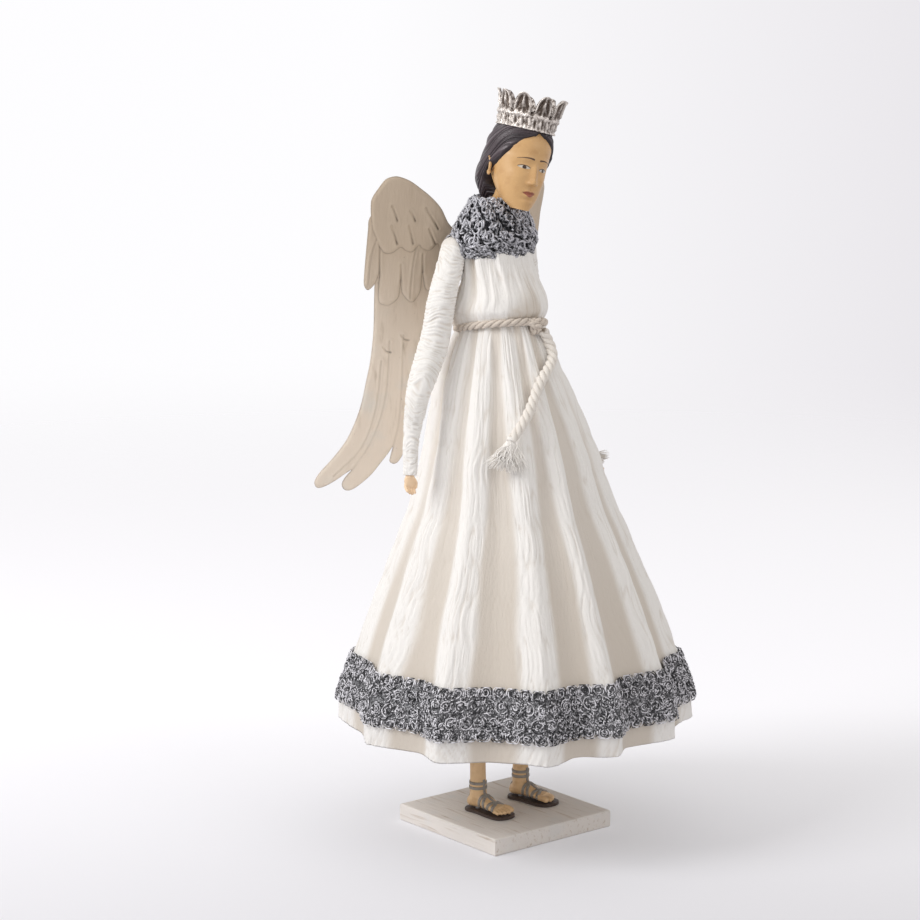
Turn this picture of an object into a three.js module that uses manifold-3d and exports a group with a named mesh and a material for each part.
// Angel figurine: a standing figure on a square board, in a long crinkled cotton dress with a rope belt,
// a crocheted collar and a band of metallic lace, with a cast crown and two sheet metal wings.
// Millimetres, +Z up. The origin is the middle of the board's underside. The figure faces -Y, so her
// right hand is on the -X side.
import * as THREE from "three";
import { mergeVertices } from "three/addons/utils/BufferGeometryUtils.js";
import Module from "manifold-3d";

const wasm = await Module();
wasm.setup();

// Driving dimensions: the board, the figure's lengths from the hem up to the head, and the cloth
const boardSide = 105;
const boardThickness = 12;
const hemAboveBoard = 67;
const skirtLength = 273.2;
const backLength = 53.8;
const shoulderToNeck = 8;
const neckToHead = 51;
const hemRadius = 122;
const waistRadius = 26.8;
const foldDepth = 13;
const clothWall = 1.4;
const seat = 0.3;
const cut = 2;

// What the waist's size gives: the bodice swells over it, and the arms hang beside the bodice
const bodiceSwellWidth = 2.7;
const bodiceSwellDepth = 1.2;
const shoulderGap = 1;
const sleeveInset = 1.5;
const collarOverhang = 3.5;
const bodiceHalfWidth = waistRadius + bodiceSwellWidth;
const bodiceHalfDepth = waistRadius + bodiceSwellDepth;
const shoulderReach = bodiceHalfWidth + shoulderGap;
const sleeveFace = bodiceHalfWidth - sleeveInset;
const collarHalfWidth = bodiceHalfWidth + collarOverhang;
const bracketSetBack = 3.4;
const bracketFront = bodiceHalfDepth + bracketSetBack;

// The heights above the board's underside that these lengths give
const hemHeight = boardThickness + hemAboveBoard;
const waistHeight = hemHeight + skirtLength;
const shoulderHeight = waistHeight + backLength;
const neckHeight = shoulderHeight + shoulderToNeck;
const headHeight = neckHeight + neckToHead;

// How the figure's middle line leans: forward at the hem, upright at the shoulders
const hemShiftX = 2.2;
const hemShiftY = -7;
const waistShiftY = 6;
const middleSwayX = 3.2;
const middleSwayY = -1.8;
const shoulderShiftY = 18.5;
const neckShiftY = 15.5;

// The belt line rises towards the front, at this angle round the waist
const beltRise = 6.2;
const beltRiseAngle = 252;

const mergeDistance = 1e-4;
const simplifyWithin = 0.02;
const fullTurn = 360;
const roundSides = 16;
const radians = THREE.MathUtils.degToRad;
const angel = new THREE.Group();

// Colours and finishes
const finishes = {
  limewash: { color: 0xe9e4da, roughness: 0.85, metalness: 0 },
  cotton: { color: 0xf1ece2, roughness: 0.95, metalness: 0 },
  lining: { color: 0xeae4d8, roughness: 0.95, metalness: 0 },
  lace: { color: 0x7d7f86, roughness: 0.55, metalness: 0.4 },
  yarn: { color: 0x74767e, roughness: 0.7, metalness: 0.3 },
  rope: { color: 0xe6dccb, roughness: 0.9, metalness: 0 },
  skin: { color: 0xc99a62, roughness: 0.5, metalness: 0 },
  hair: { color: 0x4b4046, roughness: 0.6, metalness: 0 },
  silver: { color: 0xa9a29a, roughness: 0.4, metalness: 0.8 },
  wing: { color: 0xc3b8a4, roughness: 0.6, metalness: 0.3 },
  steel: { color: 0x8f9196, roughness: 0.4, metalness: 0.9 },
  dowel: { color: 0xc8a877, roughness: 0.8, metalness: 0 },
  core: { color: 0xd8cbb4, roughness: 0.8, metalness: 0 },
  sole: { color: 0x4a3a35, roughness: 0.6, metalness: 0 },
  strap: { color: 0xa39d97, roughness: 0.6, metalness: 0.1 },
};

function addPiece(name, geometry, finish, parent = angel) {
  geometry.computeVertexNormals();
  const mesh = new THREE.Mesh(geometry, new THREE.MeshStandardMaterial(finishes[finish]));
  mesh.name = name;
  parent.add(mesh);
  return mesh;
}

// Closed surfaces from rings of points, and solids that can be joined and cut

function signedVolume(positions, index) {
  const a = new THREE.Vector3();
  const b = new THREE.Vector3();
  const c = new THREE.Vector3();
  let sum = 0;
  for (let i = 0; i < index.length; i += 3) {
    a.fromArray(positions, index[i] * 3);
    b.fromArray(positions, index[i + 1] * 3);
    c.fromArray(positions, index[i + 2] * 3);
    sum += a.dot(b.cross(c)) / 6;
  }
  return sum;
}

function surface(positions, index) {
  if (signedVolume(positions, index) < 0) index.reverse();
  const geometry = new THREE.BufferGeometry();
  geometry.setAttribute("position", new THREE.Float32BufferAttribute(positions, 3));
  geometry.setIndex(index);
  return geometry;
}

// Joins each ring to the next. A ring band closes on itself, any other loft gets a middle point at each end.
function loft(rings, band = false) {
  const count = rings[0].length;
  const positions = rings.flat().flatMap((p) => [p.x, p.y, p.z]);
  const index = [];
  const steps = band ? rings.length : rings.length - 1;
  for (let r = 0; r < steps; r += 1) {
    const near = r * count;
    const far = ((r + 1) % rings.length) * count;
    for (let i = 0; i < count; i += 1) {
      const j = (i + 1) % count;
      index.push(near + i, near + j, far + j, near + i, far + j, far + i);
    }
  }
  if (!band) {
    [0, rings.length - 1].forEach((r) => {
      const middle = new THREE.Vector3();
      rings[r].forEach((p) => middle.addScaledVector(p, 1 / count));
      const tip = positions.length / 3;
      positions.push(middle.x, middle.y, middle.z);
      for (let i = 0; i < count; i += 1) {
        const j = (i + 1) % count;
        if (r === 0) index.push(tip, r * count + j, r * count + i);
        else index.push(tip, r * count + i, r * count + j);
      }
    });
  }
  return surface(positions, index);
}

function ovalRing(halfWidth, halfDepth, x, y, z, count) {
  return Array.from({ length: count }, (unused, i) => {
    const turn = (2 * Math.PI * i) / count;
    return new THREE.Vector3(x + halfWidth * Math.cos(turn), y + halfDepth * Math.sin(turn), z);
  });
}

function solidOf(geometry) {
  const bare = new THREE.BufferGeometry();
  bare.setAttribute("position", geometry.getAttribute("position"));
  bare.setIndex(geometry.index);
  const merged = mergeVertices(bare, mergeDistance);
  return new wasm.Manifold(
    new wasm.Mesh({
      numProp: 3,
      vertProperties: merged.attributes.position.array,
      triVerts: new Uint32Array(merged.index.array),
    }),
  );
}

function geometryOf(solid) {
  const mesh = solid.simplify(simplifyWithin).getMesh();
  const geometry = new THREE.BufferGeometry();
  geometry.setAttribute("position", new THREE.BufferAttribute(mesh.vertProperties, 3));
  geometry.setIndex(new THREE.BufferAttribute(mesh.triVerts, 1));
  return geometry;
}

function joined(geometries) {
  return geometries.map(solidOf).reduce((all, next) => all.add(next));
}

function box(lowX, lowY, lowZ, highX, highY, highZ) {
  const geometry = new THREE.BoxGeometry(highX - lowX, highY - lowY, highZ - lowZ);
  return geometry.translate((lowX + highX) / 2, (lowY + highY) / 2, (lowZ + highZ) / 2);
}

// A round bar between two points
function bar(start, end, radius, sides) {
  const line = new THREE.Vector3().subVectors(end, start);
  const geometry = new THREE.CylinderGeometry(radius, radius, line.length(), sides);
  const up = new THREE.Vector3(0, 1, 0);
  geometry.applyQuaternion(new THREE.Quaternion().setFromUnitVectors(up, line.clone().normalize()));
  return geometry.translate((start.x + end.x) / 2, (start.y + end.y) / 2, (start.z + end.z) / 2);
}

function tube(path, radius, sides, steps) {
  const section = new THREE.Shape(
    Array.from({ length: sides }, (unused, i) => {
      const turn = (2 * Math.PI * i) / sides;
      return new THREE.Vector2(radius * Math.cos(turn), radius * Math.sin(turn));
    }),
  );
  return new THREE.ExtrudeGeometry(section, { steps, bevelEnabled: false, extrudePath: path });
}

// A countersunk screw along +Z with its head's flat end at the origin. A cutter for one starts below.
function screw(headRadius, shankRadius, length, below = 0) {
  const start = below ? [new THREE.Vector2(0, -below), new THREE.Vector2(headRadius, -below)] : [];
  const profile = [
    ...(below ? start : [new THREE.Vector2(0, 0)]),
    new THREE.Vector2(headRadius, 0),
    new THREE.Vector2(shankRadius, headRadius - shankRadius),
    new THREE.Vector2(shankRadius, length - shankRadius),
    new THREE.Vector2(0, length),
  ];
  const geometry = new THREE.LatheGeometry(profile, 12);
  return geometry.rotateX(Math.PI / 2);
}

// Reads a table of [place share, value share, ...] rows with a smooth curve through them
function smoothShare(rows, place, column = 1) {
  const last = rows.length - 1;
  let k = 0;
  while (k < last - 1 && place > rows[k + 1][0]) k += 1;
  const span = rows[k + 1][0] - rows[k][0];
  const slope = (i) => {
    const low = Math.max(i - 1, 0);
    const high = Math.min(i + 1, last);
    return (rows[high][column] - rows[low][column]) / (rows[high][0] - rows[low][0]);
  };
  const t = (place - rows[k][0]) / span;
  const t2 = t * t;
  const t3 = t2 * t;
  return (
    (2 * t3 - 3 * t2 + 1) * rows[k][column] +
    (t3 - 2 * t2 + t) * span * slope(k) +
    (3 * t2 - 2 * t3) * rows[k + 1][column] +
    (t3 - t2) * span * slope(k + 1)
  );
}

// Board, and the screws that come up through it into the feet

const boardEase = 0.8;
const footScrewHeadRadius = 4.2;
const footScrewRadius = 2;
const footScrewLength = 28;
const soleThickness = 2;
const rightLegX = -20;
const rightLegY = 5;
const leftLegX = 21.5;
const leftLegY = 8;
const legPlaces = {
  right: { x: rightLegX, y: rightLegY, turn: 7 },
  left: { x: leftLegX, y: leftLegY, turn: 13 },
};

function footScrew(leg, clearance) {
  const head = footScrewHeadRadius + clearance;
  const length = footScrewLength + clearance;
  const geometry = screw(head, footScrewRadius + clearance, length, clearance ? cut : 0);
  return geometry.translate(leg.x, leg.y, 0);
}

function addBoard() {
  const half = boardSide / 2 - boardEase;
  const outline = new THREE.Shape();
  outline.moveTo(-half, -half);
  outline.lineTo(half, -half);
  outline.lineTo(half, half);
  outline.lineTo(-half, half);
  const board = new THREE.ExtrudeGeometry(outline, {
    depth: boardThickness - 2 * boardEase,
    bevelThickness: boardEase,
    bevelSize: boardEase,
    bevelSegments: 1,
  });
  let solid = solidOf(board.translate(0, 0, boardEase));
  Object.entries(legPlaces).forEach(([side, leg]) => {
    solid = solid.subtract(solidOf(footScrew(leg, seat)));
    addPiece(`${side}_foot_screw`, footScrew(leg, 0), "steel");
  });
  addPiece("base_plinth", geometryOf(solid), "limewash");
}

// Feet in sandals, cast in one with the lower legs

const footLength = 38;
const footWidth = 14;
const footHeight = 13;
const heelBehindLeg = 8;
const ankleRadius = 5.6;
const calfRadius = 8.6;
const calfUnderSkirt = 33;
const ankleAboveBoard = 21;
const legRodRadius = 4;
const legRodDepth = 16;
const footSideShare = 0.35;
const toeRadius = 1.9;
const toeReach = 5.5;
const soleMargin = 1.3;
const strapThickness = 0.9;
const strapWidth = 2.8;
const footBottomHeight = boardThickness + seat + soleThickness + seat;
const ankleHeight = boardThickness + ankleAboveBoard;
const calfTopHeight = hemHeight + calfUnderSkirt;

// Along the foot: place from heel to toe joint, half width and height as shares of the foot's own
const footRowShares = [
  [0.0, 0.22, 0.35],
  [0.06, 0.38, 0.62],
  [0.2, 0.42, 1.0],
  [0.38, 0.4, 1.0],
  [0.55, 0.44, 0.72],
  [0.72, 0.5, 0.5],
  [0.88, 0.5, 0.36],
  [1.0, 0.42, 0.24],
];
// Up the leg: height and radius from the ankle to the calf
const legRowShares = [
  [0.0, 1.0],
  [0.25, 0.0],
  [0.5, 0.25],
  [1.0, 1.0],
];
const toeShares = [
  [-0.4, 0.9, 1.25],
  [-0.12, 0.95, 0.95],
  [0.1, 0.8, 0.85],
  [0.29, 0.55, 0.8],
  [0.44, 0.3, 0.75],
];

// The foot lies along -Y with the leg's middle over the origin. mirror is 1 where the big toe is on -X.
function footGeometries(grow, mirror, toeList) {
  const heelY = heelBehindLeg;
  const bodyLength = footLength - toeReach;
  const sideCount = 8;
  const rows = footRowShares.map(([place, widthShare, heightShare]) => {
    const halfWidth = footWidth * widthShare + grow;
    const height = footHeight * heightShare;
    const y = heelY - bodyLength * place - Math.sign(place - 0.5) * grow;
    return Array.from({ length: sideCount }, (unused, i) => {
      const turn = (2 * Math.PI * i) / sideCount;
      const up = Math.sin(turn);
      return new THREE.Vector3(
        halfWidth * Math.cos(turn),
        y,
        height * (footSideShare + (up > 0 ? 1 - footSideShare : footSideShare) * up) + grow * up,
      );
    });
  });
  const legBottom = footHeight * 0.3;
  const legHeight = calfTopHeight - footBottomHeight - legBottom;
  const legRings = legRowShares.map(([place, share], k) => {
    const radius = (k === 0 ? ankleRadius : THREE.MathUtils.lerp(ankleRadius, calfRadius, share)) + grow;
    return ovalRing(radius, radius, 0, 0, legBottom + legHeight * place, sideCount);
  });
  const toes = toeList.map(([across, along, size]) => {
    const radius = toeRadius * size + grow;
    const geometry = new THREE.SphereGeometry(radius, 6, 4);
    geometry.scale(1, (toeReach * 0.6) / toeRadius, 1);
    const y = heelY - bodyLength - toeReach * (along - 0.62);
    return geometry.translate(mirror * footWidth * across, y, toeRadius * size);
  });
  return [loft(rows), loft(legRings), ...toes];
}

function soleShape() {
  const shares = [
    [0.0, 1.0],
    [0.42, 0.9],
    [0.44, 0.55],
    [0.52, 0.25],
    [0.54, 0.0],
    [0.4, -0.12],
    [0.0, -0.17],
    [-0.4, -0.1],
    [-0.54, 0.02],
    [-0.52, 0.3],
    [-0.42, 0.6],
    [-0.4, 0.92],
  ];
  const grown = footWidth + 2 * soleMargin;
  const bodyLength = footLength - toeReach;
  const points = shares.map(
    ([across, along]) =>
      new THREE.Vector2(grown * across, heelBehindLeg + soleMargin - (bodyLength + soleMargin) * (1 - along)),
  );
  return new THREE.Shape(new THREE.CatmullRomCurve3(
    points.map((p) => new THREE.Vector3(p.x, p.y, 0)),
    true,
  ).getPoints(28).slice(0, 28).map((p) => new THREE.Vector2(p.x, p.y)));
}

function strapCutters() {
  const wide = footWidth;
  const long = footLength;
  const floor = seat;
  const ankle = ankleHeight - footBottomHeight;
  const cutters = [box(-wide, -wide, ankle - strapWidth / 2, wide, wide, ankle + strapWidth / 2)];
  const instep = box(-strapWidth / 2, heelBehindLeg - long * 0.62, floor, strapWidth / 2, 0, ankle);
  cutters.push(instep);
  [-0.4, -0.62].forEach((place, k) => {
    [-1, 1].forEach((lean) => {
      const slab = box(-wide, -strapWidth / 2, floor, wide, strapWidth / 2, footHeight * 1.4);
      slab.rotateZ(radians(lean * (14 + 6 * k)));
      cutters.push(slab.translate(0, long * place + heelBehindLeg, 0));
    });
  });
  const heel = box(-wide, 0, floor, wide, strapWidth, ankle);
  cutters.push(heel);
  return cutters;
}

function addFoot(side) {
  const leg = legPlaces[side];
  const mirror = side === "right" ? -1 : 1;
  const group = new THREE.Group();
  group.position.set(leg.x, leg.y, footBottomHeight);
  group.rotation.z = radians(leg.turn);
  angel.add(group);

  const screwHole = footScrew({ x: 0, y: 0 }, seat).translate(0, 0, -footBottomHeight);
  const rodHole = bar(
    new THREE.Vector3(0, 0, calfTopHeight - footBottomHeight - legRodDepth - seat),
    new THREE.Vector3(0, 0, calfTopHeight + cut),
    legRodRadius + seat,
    16,
  );
  const floorCut = box(-boardSide, -boardSide, -boardThickness, boardSide, boardSide, 0);
  const foot = joined(footGeometries(0, mirror, toeShares)).subtract(solidOf(floorCut));
  const bored = foot.subtract(solidOf(screwHole)).subtract(solidOf(rodHole));
  addPiece(`${side}_foot`, geometryOf(bored), "skin", group);

  const sole = new THREE.ExtrudeGeometry(soleShape(), { depth: soleThickness, bevelEnabled: false });
  sole.translate(0, 0, -seat - soleThickness);
  addPiece(`${side}_sandal_sole`, geometryOf(solidOf(sole).subtract(solidOf(screwHole))), "sole", group);

  const outside = joined(footGeometries(seat + strapThickness, mirror, []));
  const inside = joined(footGeometries(seat, mirror, []));
  const straps = outside.intersect(joined(strapCutters())).subtract(inside).subtract(solidOf(screwHole));
  const largest = straps.decompose().sort((a, b) => b.volume() - a.volume())[0];
  addPiece(`${side}_sandal_straps`, geometryOf(largest), "strap", group);
}

// The torso: a turned core, with the leg rods, the neck dowel and the wing screws in its bores

const torsoSwellWidth = 2.7;
const torsoFlatness = 4.3;
const torsoHalfWidth = waistRadius + torsoSwellWidth;
const torsoHalfDepth = waistRadius - torsoFlatness;
const hipLength = 52.2;
const hipBottomHeight = waistHeight - hipLength;
const hipBoreDepth = 26;
const neckDowelRadius = 3;
const neckDowelDepth = 11;
const neckDowelReach = 13;
const wireRadius = 1.5;
const wireSides = 8;
const wireSteps = 25;
const runningFit = 0.08;
const socketDepth = 14;
const socketSides = 24;
const torsoSides = 18;
// Up the core: height, half width, half depth, and how far its middle has moved from waist to neck
const torsoRowShares = [
  [0.0, 0.95, 0.97, -0.3],
  [0.19, 1.0, 1.0, -0.2],
  [0.35, 0.84, 0.8, -0.1],
  [0.46, 0.7, 0.7, 0.0],
  [0.63, 0.83, 0.8, -0.05],
  [0.8, 0.83, 0.7, 0.2],
  [0.91, 0.8, 0.57, 0.7],
  [0.965, 0.66, 0.48, 0.85],
  [1.0, 0.36, 0.4, 1.0],
];

// The neck leans forward and a little to her left: parts sideways, backward and up
const neckLean = new THREE.Vector3(1, -4, 14).normalize();

function shiftAt(share) {
  return THREE.MathUtils.lerp(waistShiftY, neckShiftY, share);
}

function neckDowelEnds(extra) {
  const base = new THREE.Vector3(0, neckShiftY, neckHeight);
  return [
    base.clone().addScaledVector(neckLean, -neckDowelDepth - extra),
    base.clone().addScaledVector(neckLean, neckDowelReach + extra),
  ];
}

// The bores for the arm wires and the wing screws, which go through the clothes into the torso
function boresThroughTorso(wireClearance) {
  const radius = wireRadius + wireClearance;
  const sockets = [-1, 1].map((sign) => {
    const deep = new THREE.Vector3(sign * (socketDepth - seat * 2), shoulderShiftY, shoulderHeight);
    return bar(deep, deep.clone().setX(sign * shoulderReach), radius, socketSides);
  });
  return joined([...sockets, ...wingScrewHeights.map((place) => backScrew(place, seat))]);
}

function addTorso() {
  const height = neckHeight - hipBottomHeight;
  const rings = torsoRowShares.map(([place, width, depth, shift]) =>
    ovalRing(
      torsoHalfWidth * width,
      torsoHalfDepth * depth,
      0,
      shiftAt(shift),
      hipBottomHeight + height * place,
      torsoSides,
    ),
  );
  let solid = solidOf(loft(rings));
  Object.entries(legPlaces).forEach(([side, leg]) => {
    const low = new THREE.Vector3(leg.x, leg.y, calfTopHeight - legRodDepth);
    const high = new THREE.Vector3(leg.x, leg.y, hipBottomHeight + hipBoreDepth);
    addPiece(`${side}_leg_rod`, bar(low, high, legRodRadius, roundSides), "dowel");
    const boreTop = high.clone().setZ(high.z + seat);
    solid = solid.subtract(solidOf(bar(low, boreTop, legRodRadius + seat, roundSides)));
  });
  const [dowelLow, dowelHigh] = neckDowelEnds(0);
  const [boreLow, boreHigh] = neckDowelEnds(seat);
  addPiece("neck_dowel", bar(dowelLow, dowelHigh, neckDowelRadius, roundSides), "dowel");
  solid = solid.subtract(solidOf(bar(boreLow, boreHigh, neckDowelRadius + seat, roundSides)));
  addPiece("torso_core", geometryOf(solid.subtract(boresThroughTorso(runningFit))), "core");
}

// Skirt: crinkled cotton that hangs in twelve main folds from the belt

// Down from a ridge at each of these angles, in degrees round the skirt
const ridgeAngles = [22, 52, 82, 112, 142, 175, 205, 240, 265, 293, 320, 350];
// For the valley after each ridge: its depth, and where along it the cloth lies deepest
const valleyShares = [
  [0.8, 0.5],
  [0.9, 0.45],
  [1.0, 0.55],
  [0.85, 0.5],
  [0.75, 0.55],
  [0.9, 0.62],
  [1.0, 0.48],
  [0.85, 0.5],
  [1.0, 0.36],
  [0.85, 0.5],
  [0.75, 0.55],
  [0.9, 0.5],
];
// How far each ridge stands out past the skirt's radius, as a share of the fold's depth
const ridgeLiftShares = [0, -0.1, 0.05, 0, 0.05, -0.05, 0.1, 0, -0.1, 0, 0.2, -0.05];
// Height from the hem to the waist, and radius from the waist's to the hem's
const skirtRadiusShares = [
  [0.0, 1.0],
  [0.07, 0.985],
  [0.16, 0.9],
  [0.3, 0.755],
  [0.46, 0.57],
  [0.56, 0.452],
  [0.7, 0.335],
  [0.815, 0.222],
  [0.96, 0.055],
  [1.0, 0.0],
];
const columnsPerFold = 5;
const leastFoldShare = 0.07;
const riseStartShare = 0.84;

const laceLift = 14;
const laceWidth = 34;
const laceThickness = 1.6;
const laceBottomHeight = hemHeight + laceLift;
const laceTopHeight = laceBottomHeight + laceWidth;

function skirtPlaceAt(height) {
  return (height - hemHeight) / (waistHeight - hemHeight);
}

function skirtRadiusAt(place) {
  return waistRadius + (hemRadius - waistRadius) * smoothShare(skirtRadiusShares, place);
}

function foldDepthAt(place) {
  return foldDepth * (leastFoldShare + (1 - leastFoldShare) * (1 - place) ** 0.9);
}

function skirtMiddleAt(place) {
  const sway = 4 * place * (1 - place);
  return {
    x: THREE.MathUtils.lerp(hemShiftX, 0, place) + middleSwayX * sway,
    y: THREE.MathUtils.lerp(hemShiftY, waistShiftY, place) + middleSwayY * sway,
  };
}

function beltRiseAt(angle) {
  return beltRise * Math.cos(radians(angle - beltRiseAngle));
}

// How far the cloth lies inside the skirt's radius, 0 on a ridge, as a share of the fold's depth
function foldShareAt(angle) {
  const turned = ((angle % fullTurn) + fullTurn) % fullTurn;
  let k = ridgeAngles.length - 1;
  ridgeAngles.forEach((ridge, i) => {
    if (turned >= ridge) k = i;
  });
  if (turned < ridgeAngles[0]) k = ridgeAngles.length - 1;
  const next = (k + 1) % ridgeAngles.length;
  const start = ridgeAngles[k];
  const span = (ridgeAngles[next] - start + fullTurn) % fullTurn;
  const t = ((turned - start + fullTurn) % fullTurn) / span;
  const [depth, deepest] = valleyShares[k];
  const warped = t < deepest ? (0.5 * t) / deepest : 0.5 + (0.5 * (t - deepest)) / (1 - deepest);
  const valley = depth * Math.sin(Math.PI * warped) ** 1.4;
  const blend = t * t * (3 - 2 * t);
  return valley - THREE.MathUtils.lerp(ridgeLiftShares[k], ridgeLiftShares[next], blend);
}

function skirtColumnAngles() {
  return ridgeAngles.flatMap((start, k) => {
    const span = (ridgeAngles[(k + 1) % ridgeAngles.length] - start + fullTurn) % fullTurn;
    return Array.from({ length: columnsPerFold }, (unused, i) => start + (span * i) / columnsPerFold);
  });
}

function skirtRing(height, outward) {
  const place = skirtPlaceAt(height);
  const middle = skirtMiddleAt(place);
  const rise = THREE.MathUtils.smoothstep(place, riseStartShare, 1);
  return skirtColumnAngles().map((angle) => {
    const radius = skirtRadiusAt(place) - foldDepthAt(place) * foldShareAt(angle) + outward;
    return new THREE.Vector3(
      middle.x + radius * Math.cos(radians(angle)),
      middle.y + radius * Math.sin(radians(angle)),
      height + rise * beltRiseAt(angle),
    );
  });
}

function addSkirt() {
  const rowShares = [0.3, 0.455, 0.62, 0.8, 0.94, 1];
  const heights = [
    hemHeight,
    laceBottomHeight,
    laceTopHeight,
    ...rowShares.map((share) => THREE.MathUtils.lerp(hemHeight, waistHeight, share)),
  ];
  const outer = heights.map((height) => skirtRing(height, 0));
  const inner = heights.map((height) => skirtRing(height, -clothWall)).reverse();
  addPiece("skirt", loft([...outer, ...inner], true), "cotton");
  const laceHeights = [laceBottomHeight, laceTopHeight];
  const laceOuter = laceHeights.map((height) => skirtRing(height, seat + laceThickness));
  const laceInner = laceHeights.map((height) => skirtRing(height, seat)).reverse();
  addPiece("lace_band", loft([...laceOuter, ...laceInner], true), "lace");
}

const liningWall = 0.8;
const liningLift = 6;
const liningTopShare = 0.84;
const liningGap = 0.4;
const liningColumns = 26;

function addSkirtLining() {
  const low = skirtPlaceAt(hemHeight + liningLift);
  const rows = [low, 0.16, 0.3, 0.56, liningTopShare];
  const ringAt = (place, inward) => {
    const middle = skirtMiddleAt(place);
    const radius = skirtRadiusAt(place) - foldDepthAt(place) - clothWall - liningGap - inward;
    const height = THREE.MathUtils.lerp(hemHeight, waistHeight, place);
    return ovalRing(radius, radius, middle.x, middle.y, height, liningColumns);
  };
  const outer = rows.map((place) => ringAt(place, seat));
  const inner = rows.map((place) => ringAt(place, seat + liningWall)).reverse();
  addPiece("skirt_lining", loft([...outer, ...inner], true), "lining");
}

// Bodice: gathered cotton that swells over the belt and closes under the collar

const bodiceNeckRise = 6;
const bodiceTopHeight = neckHeight + bodiceNeckRise;
const bodiceFoldDepth = 1.6;
const bodiceWall = 1.4;
const bodiceFolds = 10;
const bodiceColumns = 30;
// Up the bodice: height, half width, half depth, middle, depth of its folds
const bodiceRowShares = [
  [0.0, 0.885, 0.93, 0.0, 0.2],
  [0.1, 0.94, 0.945, -0.05, 0.7],
  [0.2, 0.985, 0.94, -0.1, 1.0],
  [0.33, 0.985, 0.925, -0.2, 1.0],
  [0.48, 0.955, 0.82, 0.02, 0.9],
  [0.63, 0.915, 0.72, 0.3, 0.6],
  [0.76, 0.9, 0.66, 0.45, 0.4],
  [0.85, 0.77, 0.58, 0.7, 0.2],
  [0.92, 0.6, 0.52, 0.85, 0.1],
  [1.0, 0.48, 0.48, 0.8, 0.0],
];

function bodiceRing(row, inward, count) {
  const [place, width, depth, shift, fold] = row;
  const height = THREE.MathUtils.lerp(waistHeight + seat, bodiceTopHeight, place);
  const rise = 1 - THREE.MathUtils.smoothstep(place, 0, 0.3);
  return Array.from({ length: count }, (unused, i) => {
    const angle = (fullTurn * i) / count;
    const wave = 0.5 - 0.5 * Math.cos(radians(bodiceFolds * angle));
    const drop = bodiceFoldDepth * fold * wave + inward;
    return new THREE.Vector3(
      (bodiceHalfWidth * width - drop) * Math.cos(radians(angle)),
      shiftAt(shift) + (bodiceHalfDepth * depth - drop) * Math.sin(radians(angle)),
      height + rise * beltRiseAt(angle),
    );
  });
}

function addBodice() {
  const outer = bodiceRowShares.map((row) => bodiceRing(row, 0, bodiceColumns));
  const inner = bodiceRowShares.map((row) => bodiceRing(row, bodiceWall, bodiceColumns)).reverse();
  const solid = solidOf(loft([...outer, ...inner], true)).subtract(boresThroughTorso(seat));
  addPiece("bodice", geometryOf(solid), "cotton");
}

// Rope belt with its knot, the free end and its frayed tassel

const ropeRadius = 2.7;
const tailRadius = 2.5;
const ropeSides = 8;
const beltSteps = 32;
const tailSteps = 24;
const knotRadius = 5.4;
const knotAngle = 277;
const knotOutward = 1.6;
const knotDrop = 2.8;
const beltGapAngle = 10.5;
const tasselLength = 19;
const tasselHalfWidth = 10;
const tasselHalfDepth = 3.4;
// The free end's own route, from the knot across the skirt, with its heights measured from the waist
const tailRoute = [
  [9.4, -27.4, 0.2],
  [12.1, -27.2, -3.5],
  [13.8, -27.7, -7.4],
  [14.7, -29.2, -11.2],
  [14.3, -31.4, -15.4],
  [12.4, -33.5, -19.2],
  [9.4, -35.3, -22.0],
  [5.2, -37.5, -25.1],
  [0.4, -39.1, -28.4],
  [-3.8, -40.5, -32.3],
  [-7.3, -41.6, -36.0],
  [-10.3, -42.5, -40.5],
  [-13.4, -43.5, -45.2],
  [-16.9, -44.6, -49.6],
  [-21.0, -45.7, -54.2],
  [-25.4, -46.3, -58.9],
  [-29.6, -46.4, -63.1],
  [-33.8, -45.8, -67.6],
];

function beltPoint(angle, outward = 0) {
  const radius = waistRadius + ropeRadius + seat + outward;
  return new THREE.Vector3(
    radius * Math.cos(radians(angle)),
    waistShiftY + radius * Math.sin(radians(angle)),
    waistHeight + seat * 2 + beltRiseAt(angle),
  );
}

function addBelt() {
  const first = knotAngle + beltGapAngle;
  const sweep = fullTurn - 2 * beltGapAngle;
  const count = 24;
  const points = Array.from({ length: count + 1 }, (unused, i) => beltPoint(first + (sweep * i) / count));
  const path = new THREE.CatmullRomCurve3(points);
  addPiece("rope_belt", tube(path, ropeRadius, ropeSides, beltSteps), "rope");
  const knot = new THREE.SphereGeometry(knotRadius, 10, 7);
  const place = beltPoint(knotAngle, knotOutward);
  knot.scale(0.95, 0.85, 1.3).translate(place.x, place.y, place.z - knotDrop);
  const belt = solidOf(tube(path, ropeRadius + seat, ropeSides, beltSteps));
  const tail = solidOf(tube(tailCurve(), tailRadius + seat, ropeSides, tailSteps));
  const skirtRows = [0.9, 0.94, 1].map((share) => THREE.MathUtils.lerp(hemHeight, waistHeight, share));
  const skirtRoom = solidOf(loft(skirtRows.map((height) => skirtRing(height, seat))));
  const room = belt.add(tail).add(skirtRoom);
  addPiece("belt_knot", geometryOf(solidOf(knot).subtract(room)), "rope");
}

function tailCurve() {
  return new THREE.CatmullRomCurve3(tailRoute.map(([x, y, z]) => new THREE.Vector3(x, y, waistHeight + z)));
}

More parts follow.
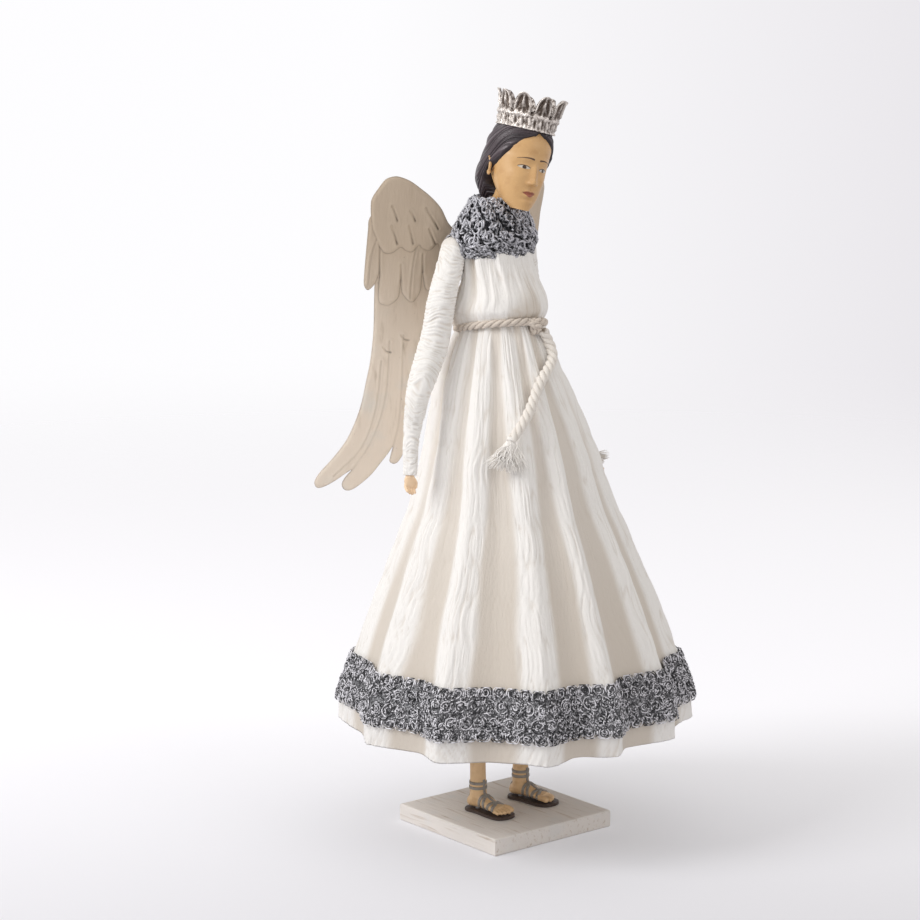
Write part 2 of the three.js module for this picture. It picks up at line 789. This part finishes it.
function addTail() {
  const curve = tailCurve();
  addPiece("belt_tail", tube(curve, tailRadius, ropeSides, tailSteps), "rope");
  const end = curve.getPoint(1);
  const along = curve.getTangent(1).lerp(new THREE.Vector3(0, -0.15, -1), 0.6).normalize();
  const outward = new THREE.Vector3(end.x, end.y - waistShiftY, 0).normalize();
  const across = new THREE.Vector3().crossVectors(along, outward).normalize();
  const thick = new THREE.Vector3().crossVectors(across, along).normalize();
  const rowShares = [
    [0, 0.24, 0.66],
    [0.25, 0.42, 0.85],
    [0.6, 0.8, 1],
    [0.9, 1, 0.9],
    [1, 0.85, 0.5],
  ];
  const rings = rowShares.map(([place, width, depth]) => {
    const middle = end.clone().addScaledVector(along, seat + tasselLength * place);
    return Array.from({ length: 12 }, (unused, i) => {
      const turn = (2 * Math.PI * i) / 12;
      return middle
        .clone()
        .addScaledVector(across, tasselHalfWidth * width * Math.cos(turn))
        .addScaledVector(thick, tasselHalfDepth * depth * Math.sin(turn));
    });
  });
  const tassel = solidOf(loft(rings)).subtract(solidOf(tube(curve, tailRadius + seat, ropeSides, tailSteps)));
  addPiece("belt_tassel", geometryOf(tassel), "rope");
}

// Arms: a bent wire from a socket in the torso to the hand, in a wrapped cotton sleeve

const sleeveRadius = 8.9;
const elbowRadius = 10.2;
const wristRadius = 4.8;
const handStubRadius = 3.3;
const handStubLength = 6;
const palmLength = 8;
const palmHalfWidth = 4.3;
const palmHalfDepth = 2.8;
const fingerRadius = 1.15;
const fingerLength = 5;
// From shoulder to wrist: outward, backward and down, as shares of the arm's own reach, depth and drop
const wristBesideSkirt = 17.7;
const armDepth = 12;
const armDrop = 150;
const skirtBesideWrist = skirtRadiusAt(skirtPlaceAt(shoulderHeight - armDrop));
const armReach = skirtBesideWrist + wristBesideSkirt - shoulderReach;
const armRowShares = {
  right: [
    [0, 0, 0],
    [0.29, -0.35, 0.22],
    [0.4, -0.29, 0.4],
    [0.57, -0.38, 0.527],
    [0.75, -0.54, 0.653],
    [0.9, -0.79, 0.833],
    [0.97, -1.04, 0.983],
  ],
  left: [
    [0, 0, 0],
    [0.2, 0.62, 0.227],
    [0.3, 0.68, 0.42],
    [0.59, 0.29, 0.707],
    [0.83, -0.38, 0.893],
    [1.07, -1.04, 1.04],
  ],
};
// Along the arm, where the wire's bend at the shoulder ends
const bendEndShare = 0.06;
const wirePoints = 10;
// Across the palm: each finger's place, and its length
const fingerShares = [
  [-0.72, 0.89],
  [-0.25, 0.97],
  [0.22, 0.95],
  [0.68, 0.87],
];
const fingerCurl = 24;
// Along the palm: its width and depth
const palmRowShares = [
  [0, 0.85],
  [0.3, 0.95],
  [0.7, 1.05],
  [1, 0.9],
];
const palmSides = 10;
// Along the sleeve: how far it has narrowed from the elbow's radius to the wrist's
const sleeveTaperShares = [
  [0.0, 0.26],
  [0.2, 0.17],
  [0.4, 0.0],
  [0.52, 0.06],
  [0.65, 0.38],
  [0.82, 0.78],
  [1.0, 1.0],
];

function armCurve(side) {
  const sign = side === "right" ? -1 : 1;
  return new THREE.CatmullRomCurve3(
    armRowShares[side].map(
      ([reach, depth, drop]) =>
        new THREE.Vector3(
          sign * (shoulderReach + armReach * reach),
          shoulderShiftY + armDepth * depth,
          shoulderHeight - armDrop * drop,
        ),
    ),
  );
}

// The wire runs straight along the shoulder's axis, bends down and follows the arm into the hand
function wirePath(side, extra) {
  const sign = side === "right" ? -1 : 1;
  const arm = armCurve(side);
  const inner = new THREE.Vector3(sign * (socketDepth - extra), shoulderShiftY, shoulderHeight);
  const bendStart = inner.clone().setX(sign * (shoulderReach - wireRadius * 2));
  const bendEnd = arm.getPointAt(bendEndShare);
  const corner = new THREE.Vector3(sign * shoulderReach, shoulderShiftY, shoulderHeight);
  const path = new THREE.CurvePath();
  path.add(new THREE.LineCurve3(inner, bendStart));
  path.add(new THREE.QuadraticBezierCurve3(bendStart, corner, bendEnd));
  const points = Array.from({ length: wirePoints + 1 }, (unused, i) =>
    arm.getPointAt(THREE.MathUtils.lerp(bendEndShare, 1, i / wirePoints)),
  );
  const along = arm.getTangentAt(1);
  const tip = points[wirePoints].clone().addScaledVector(along, palmLength / 2 + extra);
  path.add(new THREE.CatmullRomCurve3([...points, tip]));
  return path;
}

// Rings square to a curve, each turned so that its first point faces backward
function ringsAlong(curve, places, sizes, count) {
  return places.map((place, k) => {
    const middle = curve.getPointAt(place);
    const along = curve.getTangentAt(place);
    const side = new THREE.Vector3().crossVectors(along, new THREE.Vector3(0, 1, 0)).normalize();
    const back = new THREE.Vector3().crossVectors(side, along).normalize();
    return Array.from({ length: count }, (unused, i) => {
      const turn = (2 * Math.PI * i) / count;
      return middle
        .clone()
        .addScaledVector(back, sizes[k] * Math.cos(turn))
        .addScaledVector(side, sizes[k] * Math.sin(turn));
    });
  });
}

// The palm with its stub, then the fingers and the thumb, which points forward
function handGeometries(side, clearance) {
  const sign = side === "right" ? -1 : 1;
  const arm = armCurve(side);
  const wrist = arm.getPointAt(1);
  const along = arm.getTangentAt(1);
  const stubRadius = handStubRadius + clearance;
  const stubRings = [-handStubLength - clearance, seat].map((height) =>
    ovalRing(stubRadius, stubRadius, 0, 0, height, palmSides),
  );
  const palmRings = palmRowShares.map(([place, share]) =>
    ovalRing(palmHalfDepth * share, palmHalfWidth * share, 0, 0, seat + palmLength * place, palmSides),
  );
  const pieces = [loft([...stubRings, ...palmRings])];
  const knuckle = palmLength + fingerLength * 0.35;
  fingerShares.forEach(([place, length]) => {
    const finger = new THREE.CapsuleGeometry(fingerRadius, fingerLength * length, 1, 6);
    finger.rotateX(Math.PI / 2).rotateY(radians(sign * fingerCurl));
    pieces.push(finger.translate(-sign * palmHalfDepth * 0.3, palmHalfWidth * place, knuckle));
  });
  const thumb = new THREE.CapsuleGeometry(fingerRadius * 1.1, fingerLength, 1, 6);
  thumb.rotateX(Math.PI / 2 + radians(fingerCurl));
  pieces.push(thumb.translate(-sign * palmHalfDepth * 0.4, -palmHalfWidth * 0.95, palmLength * 0.6));
  const turn = new THREE.Quaternion().setFromUnitVectors(new THREE.Vector3(0, 0, 1), along);
  return pieces.map((piece) => piece.applyQuaternion(turn).translate(wrist.x, wrist.y, wrist.z));
}

function addArm(side) {
  const sign = side === "right" ? -1 : 1;
  const curve = armCurve(side);
  const places = [0, 0.08, 0.2, 0.32, 0.42, 0.52, 0.65, 0.82, 1];
  const sizes = places.map((place) =>
    THREE.MathUtils.lerp(elbowRadius, wristRadius, smoothShare(sleeveTaperShares, place)),
  );
  const loftSleeve = solidOf(loft(ringsAlong(curve, places, sizes, 14)));
  const cap = solidOf(
    new THREE.SphereGeometry(sleeveRadius, 14, 7)
      .rotateZ(Math.PI / 2)
      .translate(sign * shoulderReach, shoulderShiftY, shoulderHeight),
  );
  const stump = solidOf(
    bar(
      new THREE.Vector3(sign * sleeveFace, shoulderShiftY, shoulderHeight),
      new THREE.Vector3(sign * shoulderReach, shoulderShiftY, shoulderHeight),
      sleeveRadius,
      roundSides,
    ),
  );
  const inside = sign > 0
    ? box(-shoulderReach, -boardSide, 0, sleeveFace, boardSide, 2 * neckHeight)
    : box(-sleeveFace, -boardSide, 0, shoulderReach, boardSide, 2 * neckHeight);
  const bore = solidOf(tube(wirePath(side, seat), wireRadius + seat, wireSides, wireSteps));
  const stub = solidOf(handGeometries(side, seat)[0]);
  const sleeve = loftSleeve.add(cap).add(stump).subtract(solidOf(inside)).subtract(bore).subtract(stub);
  addPiece(`${side}_sleeve`, geometryOf(sleeve), "cotton");
  addPiece(`${side}_arm_wire`, tube(wirePath(side, 0), wireRadius, wireSides, wireSteps), "steel");
  const hand = joined(handGeometries(side, 0)).subtract(bore);
  addPiece(`${side}_hand`, geometryOf(hand), "skin");
}

// Head with its neck and ears, the hair over it and the crown on top

const headHalfWidth = 19.4;
const headHalfDepth = 24;
const headHalfHeight = 31;
const headX = 5;
const headY = -6;
const headTilt = 13.5;
const headBow = 4;
const headTurn = -8;
const earLean = 12;
const neckRadius = 9.6;
const headColumns = 16;
// Up the head from chin to top: half width, half depth and the middle's place behind the head's
const headRowShares = [
  [-1.0, 0.3, 0.3, -0.62],
  [-0.86, 0.55, 0.46, -0.44],
  [-0.64, 0.74, 0.66, -0.28],
  [-0.38, 0.86, 0.83, -0.13],
  [-0.12, 0.94, 0.95, -0.02],
  [0.14, 0.99, 1.0, 0.05],
  [0.4, 1.0, 1.0, 0.05],
  [0.62, 0.87, 0.86, 0.05],
  [0.8, 0.66, 0.63, 0.05],
  [0.92, 0.36, 0.34, 0.05],
];
// The same for the hair, which is gathered low at the back
const hairRowShares = [
  [-1.06, 0.24, 0.2, 0.82],
  [-0.88, 0.52, 0.38, 0.82],
  [-0.64, 0.84, 0.64, 0.72],
  [-0.38, 1.04, 0.9, 0.46],
  [-0.12, 1.11, 1.03, 0.2],
  [0.14, 1.1, 1.04, 0.08],
  [0.36, 1.09, 1.04, 0.06],
  [0.56, 1.02, 0.99, 0.05],
  [0.71, 0.92, 0.88, 0.05],
  [0.86, 0.75, 0.71, 0.05],
  [0.97, 0.5, 0.47, 0.05],
  [1.02, 0.22, 0.2, 0.05],
];
// The face's opening in the hair, seen from the side: forward of the head's middle, and up
const hairlineShares = [
  [-2.0, 0.52],
  [-0.9, 0.52],
  [-0.62, 0.4],
  [-0.2, 0.1],
  [0.08, -0.1],
  [0.34, -0.2],
  [0.38, -0.45],
  [0.3, -0.8],
  [0.25, -2.0],
  [-2.0, -2.0],
];

const crownHalfWidth = 18.6;
const crownHalfDepth = 21.5;
const crownWall = 1.4;
const crownShiftX = 0.6;
const crownBandHeight = 9;
const crownPointHeight = 16;
const crownFlare = 4.5;
const crownPoints = 9;
const crownSeatShare = 0.71;
const crownPointShares = [0.1, 0.6, 1, 0.6];

function headGroup() {
  const group = new THREE.Group();
  group.position.set(headX, headY, headHeight);
  group.rotation.set(radians(headBow), radians(headTilt), radians(headTurn), "YXZ");
  angel.add(group);
  group.updateMatrixWorld(true);
  return group;
}

function skullGeometry(rowShares, grow) {
  const rings = rowShares.map(([place, width, depth, shift]) =>
    ovalRing(
      headHalfWidth * width + grow,
      headHalfDepth * depth + grow,
      0,
      headHalfDepth * shift,
      headHalfHeight * place + grow * Math.sign(place),
      headColumns,
    ),
  );
  return loft(rings);
}

// The neck in the head's own frame, although it stands on the torso
function neckGeometry(group, grow) {
  const inverse = group.matrixWorld.clone().invert();
  const radius = neckRadius + grow;
  const start = new THREE.Vector3(0, neckShiftY, neckHeight + seat);
  const top = start.clone().addScaledVector(neckLean, neckToHead - headHalfHeight * 0.5);
  top.y = headY + headHalfDepth * 0.2;
  const bend = start.clone().addScaledVector(neckLean, neckRadius * 2);
  const curve = new THREE.QuadraticBezierCurve3(start, bend, top);
  const rings = [0, 0.35, 0.7, 1].map((place) => {
    const middle = curve.getPoint(place);
    return ovalRing(radius, radius, middle.x, middle.y, middle.z - (place ? 0 : grow), roundSides);
  });
  return loft(rings).applyMatrix4(inverse);
}

function faceGeometries() {
  const nose = new THREE.SphereGeometry(1, 10, 6);
  nose.scale(headHalfWidth * 0.14, headHalfDepth * 0.16, headHalfHeight * 0.26);
  nose.translate(0, -headHalfDepth * 0.92, -headHalfHeight * 0.16);
  const ears = [-1, 1].map((sign) => {
    const ear = new THREE.SphereGeometry(1, 10, 6);
    ear.scale(headHalfWidth * 0.09, headHalfDepth * 0.15, headHalfHeight * 0.2).rotateX(radians(-earLean));
    return ear.translate(sign * headHalfWidth * 0.95, headHalfDepth * 0.18, -headHalfHeight * 0.18);
  });
  return [nose, ...ears];
}

function headSolid(group, grow) {
  return joined([skullGeometry(headRowShares, grow), neckGeometry(group, grow), ...faceGeometries()]);
}

function hairSolid() {
  return solidOf(skullGeometry(hairRowShares, 0));
}

function addHead() {
  const group = headGroup();
  const [boreLow, boreHigh] = neckDowelEnds(seat);
  const bore = bar(boreLow, boreHigh, neckDowelRadius + seat, roundSides);
  bore.applyMatrix4(group.matrixWorld.clone().invert());
  addPiece("head", geometryOf(headSolid(group, 0).subtract(solidOf(bore))), "skin", group);

  const window = new THREE.Shape(
    hairlineShares.map(([forward, up]) => new THREE.Vector2(headHalfDepth * forward, headHalfHeight * up)),
  );
  const opening = new THREE.ExtrudeGeometry(window, { depth: 4 * headHalfWidth, bevelEnabled: false });
  opening.translate(0, 0, -2 * headHalfWidth);
  opening.applyMatrix4(new THREE.Matrix4().makeBasis(
    new THREE.Vector3(0, 1, 0),
    new THREE.Vector3(0, 0, 1),
    new THREE.Vector3(1, 0, 0),
  ));
  const hair = hairSolid().subtract(headSolid(group, seat)).subtract(solidOf(opening));
  const largest = hair.decompose().sort((a, b) => b.volume() - a.volume())[0];
  addPiece("hair", geometryOf(largest), "hair", group);
  addCrown(group);
  const headRoom = joined([skullGeometry(headRowShares, seat), neckGeometry(group, seat)]);
  const hairRoom = solidOf(skullGeometry(hairRowShares, seat));
  addCollar([headRoom, hairRoom].map((room) => geometryOf(room).applyMatrix4(group.matrixWorld)));
}

function addCrown(group) {
  const count = crownPoints * crownPointShares.length;
  const bottom = headHalfHeight * crownSeatShare;
  const row = (place, inward) =>
    Array.from({ length: count }, (unused, i) => {
      const turn = (2 * Math.PI * i) / count;
      const tip = crownPointShares[i % crownPointShares.length];
      const pointUp = Math.max(place - 1, 0) * crownPointHeight * tip;
      const height = crownBandHeight * Math.min(place, 1) + pointUp;
      const flare = crownFlare * (height / (crownBandHeight + crownPointHeight)) ** 1.5 - inward;
      return new THREE.Vector3(
        crownShiftX + (crownHalfWidth + flare) * Math.cos(turn),
        headHalfDepth * 0.06 + (crownHalfDepth + flare) * Math.sin(turn),
        bottom + height,
      );
    });
  const outer = [0, 1, 2].map((place) => row(place, 0));
  const inner = [2, 1, 0].map((place) => row(place, crownWall));
  const crown = solidOf(loft([...outer, ...inner], true));
  const hairBelow = solidOf(skullGeometry(hairRowShares, seat));
  addPiece("crown", geometryOf(crown.subtract(hairBelow)), "silver", group);
}

// Collar: a thick crocheted ring that lies over the shoulders

const collarHalfDepth = 25;
const collarShiftY = 15.5;
const collarLean = 3.5;
const collarBackRoom = 1.2;
const collarBackY = bracketFront + collarBackRoom;
const collarBelowShoulder = 5;
const collarHeight = 38;
const collarBottomHeight = shoulderHeight - collarBelowShoulder;
const collarTopHeight = collarBottomHeight + collarHeight;
const collarNeckRadius = 12.5;
const collarColumns = 26;
// Round the collar's section: from its neck's radius to its own, and from its bottom to its top
const collarSectionShares = [
  [0.02, 0.8],
  [0.1, 0.98],
  [0.2, 1.0],
  [0.5, 0.78],
  [0.84, 0.46],
  [1.0, 0.2],
  [0.94, 0.0],
  [0.72, 0.0],
  [0.4, 0.3],
];

function addCollar(rooms) {
  const count = collarColumns;
  const rings = collarSectionShares.map(([out, up]) =>
    ovalRing(
      THREE.MathUtils.lerp(collarNeckRadius, collarHalfWidth, out),
      THREE.MathUtils.lerp(collarNeckRadius, collarHalfDepth, out),
      0,
      collarShiftY - collarLean * up,
      THREE.MathUtils.lerp(collarBottomHeight, collarTopHeight, up),
      count,
    ),
  );
  const under = bodiceRowShares.map((row) => bodiceRing(row, -seat * 2, bodiceColumns));
  let collar = solidOf(loft(rings, true)).subtract(solidOf(loft(under)));
  const sleeveTop = shoulderHeight + sleeveRadius * 0.75;
  [-1, 1].forEach((sign) => {
    const near = sleeveFace - seat * 2;
    const cutter = bar(
      new THREE.Vector3(sign * near, shoulderShiftY, shoulderHeight),
      new THREE.Vector3(sign * 2 * collarHalfWidth, shoulderShiftY, shoulderHeight),
      sleeveRadius + seat * 2,
      socketSides,
    );
    const low = sign > 0
      ? box(near, -boardSide, 0, boardSide, boardSide, sleeveTop)
      : box(-boardSide, -boardSide, 0, -near, boardSide, sleeveTop);
    collar = collar.subtract(solidOf(cutter)).subtract(solidOf(low));
  });
  collar = collar.subtract(solidOf(box(-boardSide, collarBackY, 0, boardSide, boardSide, 2 * neckHeight)));
  collar = collar.subtract(boresThroughTorso(seat));
  ["right", "left"].forEach((side) => {
    collar = collar.subtract(solidOf(tube(wirePath(side, seat), wireRadius + seat, wireSides, wireSteps)));
  });
  rooms.forEach((room) => {
    collar = collar.subtract(solidOf(room));
  });
  const largest = collar.decompose().sort((a, b) => b.volume() - a.volume())[0];
  addPiece("collar", geometryOf(largest), "yarn");
}

// Wings: three layers of painted sheet metal feathers a side, screwed to a bracket on the back

const wingReach = 100;
const wingDrop = 177;
const wingSheet = 0.8;
const wingLayerGap = 0.3;
const wingSweep = 17;
const wingLean = 9;
const bracketHalfWidth = 8;
const wingBesideBracket = 1;
const wingRootX = bracketHalfWidth + wingBesideBracket;
const wingSetBack = 4.6;
const wingRootY = bracketFront + wingSetBack;
const wingAboveShoulder = 4;
const wingRootHeight = shoulderHeight + wingAboveShoulder;
const wingScrewRadius = 1.4;
const wingScrewHeadRadius = 2.8;
const wingScrewX = 9;
const wingScrewDown = 16;
const bracketSheet = 1.5;
const bracketDepth = 7.6;
const bracketBack = bracketFront + bracketDepth;
const bracketBelowShoulder = 6;
const bracketHeight = 23;
const bracketTop = shoulderHeight - bracketBelowShoulder;
const bracketBottom = bracketTop - bracketHeight;
const flangeLength = 14;
const backScrewRadius = 1.5;
const backScrewHeadRadius = 3;
const backScrewLength = 25;
const wingScrewHeights = [0.25, 0.75];

const covertShares = [
  [0.0, 0.0],
  [0.05, 0.03],
  [0.12, 0.07],
  [0.18, 0.13],
  [0.26, 0.177],
  [0.335, 0.21],
  [0.41, 0.24],
  [0.485, 0.258],
  [0.535, 0.261],
  [0.592, 0.25],
  [0.64, 0.216],
  [0.68, 0.182],
  [0.69, 0.15],
  [0.676, 0.072],
  [0.634, 0.012],
  [0.594, -0.029],
  [0.564, -0.041],
  [0.513, -0.039],
  [0.457, -0.02],
  [0.42, -0.034],
  [0.37, -0.04],
  [0.325, -0.016],
  [0.29, -0.032],
  [0.24, -0.036],
  [0.19, -0.012],
  [0.16, -0.07],
  [0.14, -0.13],
  [0.0, -0.13],
];
const secondaryShares = [
  [0.0, 0.0],
  [0.1, 0.04],
  [0.3, 0.12],
  [0.5, 0.14],
  [0.62, 0.14],
  [0.69, 0.1],
  [0.697, 0.053],
  [0.703, -0.026],
  [0.708, -0.125],
  [0.705, -0.165],
  [0.681, -0.185],
  [0.653, -0.178],
  [0.625, -0.159],
  [0.6, -0.13],
  [0.597, -0.228],
  [0.544, -0.25],
  [0.494, -0.243],
  [0.45, -0.216],
  [0.443, -0.16],
  [0.43, -0.2],
  [0.385, -0.234],
  [0.34, -0.24],
  [0.293, -0.197],
  [0.287, -0.13],
  [0.26, -0.19],
  [0.21, -0.2],
  [0.16, -0.16],
  [0.14, -0.13],
  [0.0, -0.13],
];
const primaryShares = [
  [0.0, 0.0],
  [0.3, 0.08],
  [0.55, 0.04],
  [0.62, -0.05],
  [0.623, -0.187],
  [0.615, -0.348],
  [0.626, -0.469],
  [0.648, -0.55],
  [0.688, -0.671],
  [0.753, -0.771],
  [0.821, -0.831],
  [0.89, -0.877],
  [0.96, -0.92],
  [0.994, -0.956],
  [0.977, -0.981],
  [0.926, -0.98],
  [0.847, -0.958],
  [0.775, -0.932],
  [0.725, -0.917],
  [0.774, -0.949],
  [0.794, -0.977],
  [0.77, -0.999],
  [0.718, -1.0],
  [0.646, -0.975],
  [0.575, -0.941],
  [0.519, -0.902],
  [0.463, -0.862],
  [0.429, -0.834],
  [0.44, -0.871],
  [0.445, -0.896],
  [0.407, -0.906],
  [0.37, -0.89],
  [0.33, -0.84],
  [0.3, -0.77],
  [0.275, -0.66],
  [0.25, -0.5],
  [0.22, -0.35],
  [0.17, -0.2],
  [0.14, -0.13],
  [0.0, -0.13],
];

function backScrew(place, clearance) {
  const head = backScrewHeadRadius + clearance;
  const length = backScrewLength + clearance;
  const geometry = screw(head, backScrewRadius + clearance, length, clearance ? cut : 0);
  const height = THREE.MathUtils.lerp(bracketBottom, bracketTop, place);
  return geometry.rotateX(Math.PI / 2).translate(0, bracketBack, height);
}

// The wing's own frame: x across the figure, y up the wing, z out of its front
function wingGroup(sign) {
  const group = new THREE.Group();
  group.position.set(sign * wingRootX, wingRootY, wingRootHeight);
  group.rotation.set(radians(90 + wingLean), 0, radians(sign * wingSweep), "ZYX");
  angel.add(group);
  group.updateMatrixWorld(true);
  return group;
}

function featherSheet(sign, shares, depth) {
  const shape = new THREE.Shape(
    shares.map(([out, up]) => new THREE.Vector2(sign * wingReach * out, wingDrop * up)),
  );
  const geometry = new THREE.ExtrudeGeometry(shape, { depth: wingSheet, bevelEnabled: false });
  return geometry.translate(0, 0, depth);
}

function wingScrew(sign, clearance) {
  const front = 3 * wingSheet + 2 * wingLayerGap + seat;
  const length = front + bracketSheet + seat + wingSheet;
  const head = new THREE.CylinderGeometry(wingScrewHeadRadius, wingScrewHeadRadius, wingSheet, 12);
  head.rotateX(Math.PI / 2).translate(sign * wingScrewX, -wingScrewDown, front + wingSheet / 2);
  const shank = bar(
    new THREE.Vector3(sign * wingScrewX, -wingScrewDown, front + wingSheet / 2),
    new THREE.Vector3(sign * wingScrewX, -wingScrewDown, front - length - clearance),
    wingScrewRadius + clearance,
    12,
  );
  return { head, shank };
}

function addWing(side) {
  const sign = side === "right" ? -1 : 1;
  const group = wingGroup(sign);
  const layers = { primaries: primaryShares, secondaries: secondaryShares, coverts: covertShares };
  const hole = solidOf(wingScrew(sign, seat).shank);
  Object.entries(layers).forEach(([layer, shares], k) => {
    const sheet = featherSheet(sign, shares, k * (wingSheet + wingLayerGap));
    addPiece(`${side}_wing_${layer}`, geometryOf(solidOf(sheet).subtract(hole)), "wing", group);
  });
  const { head, shank } = wingScrew(sign, 0);
  addPiece(`${side}_wing_screw`, geometryOf(solidOf(head).add(solidOf(shank))), "steel", group);
  const flangeEnds = [-wingRootX * 0.7, flangeLength].map((end) => sign * end).sort((a, b) => a - b);
  const flange = box(
    flangeEnds[0],
    -wingScrewDown - bracketHalfWidth,
    -seat - bracketSheet,
    flangeEnds[1],
    -wingScrewDown + bracketHalfWidth,
    -seat,
  );
  return geometryOf(solidOf(flange).subtract(hole)).applyMatrix4(group.matrixWorld);
}

function addWings() {
  const flanges = ["right", "left"].map(addWing);
  const half = bracketHalfWidth;
  const block = box(-half, bracketFront, bracketBottom, half, bracketBack, bracketTop);
  let bracket = solidOf(block);
  flanges.forEach((flange) => {
    bracket = bracket.add(solidOf(flange));
  });
  wingScrewHeights.forEach((place, k) => {
    bracket = bracket.subtract(solidOf(backScrew(place, seat)));
    addPiece(`bracket_screw_${k ? "upper" : "lower"}`, backScrew(place, 0), "steel");
  });
  addPiece("wing_bracket", geometryOf(bracket), "steel");
}

addBoard();
addFoot("right");
addFoot("left");
addTorso();
addSkirt();
addSkirtLining();
addBodice();
addBelt();
addTail();
addArm("right");
addArm("left");
addHead();
addWings();

export default angel;
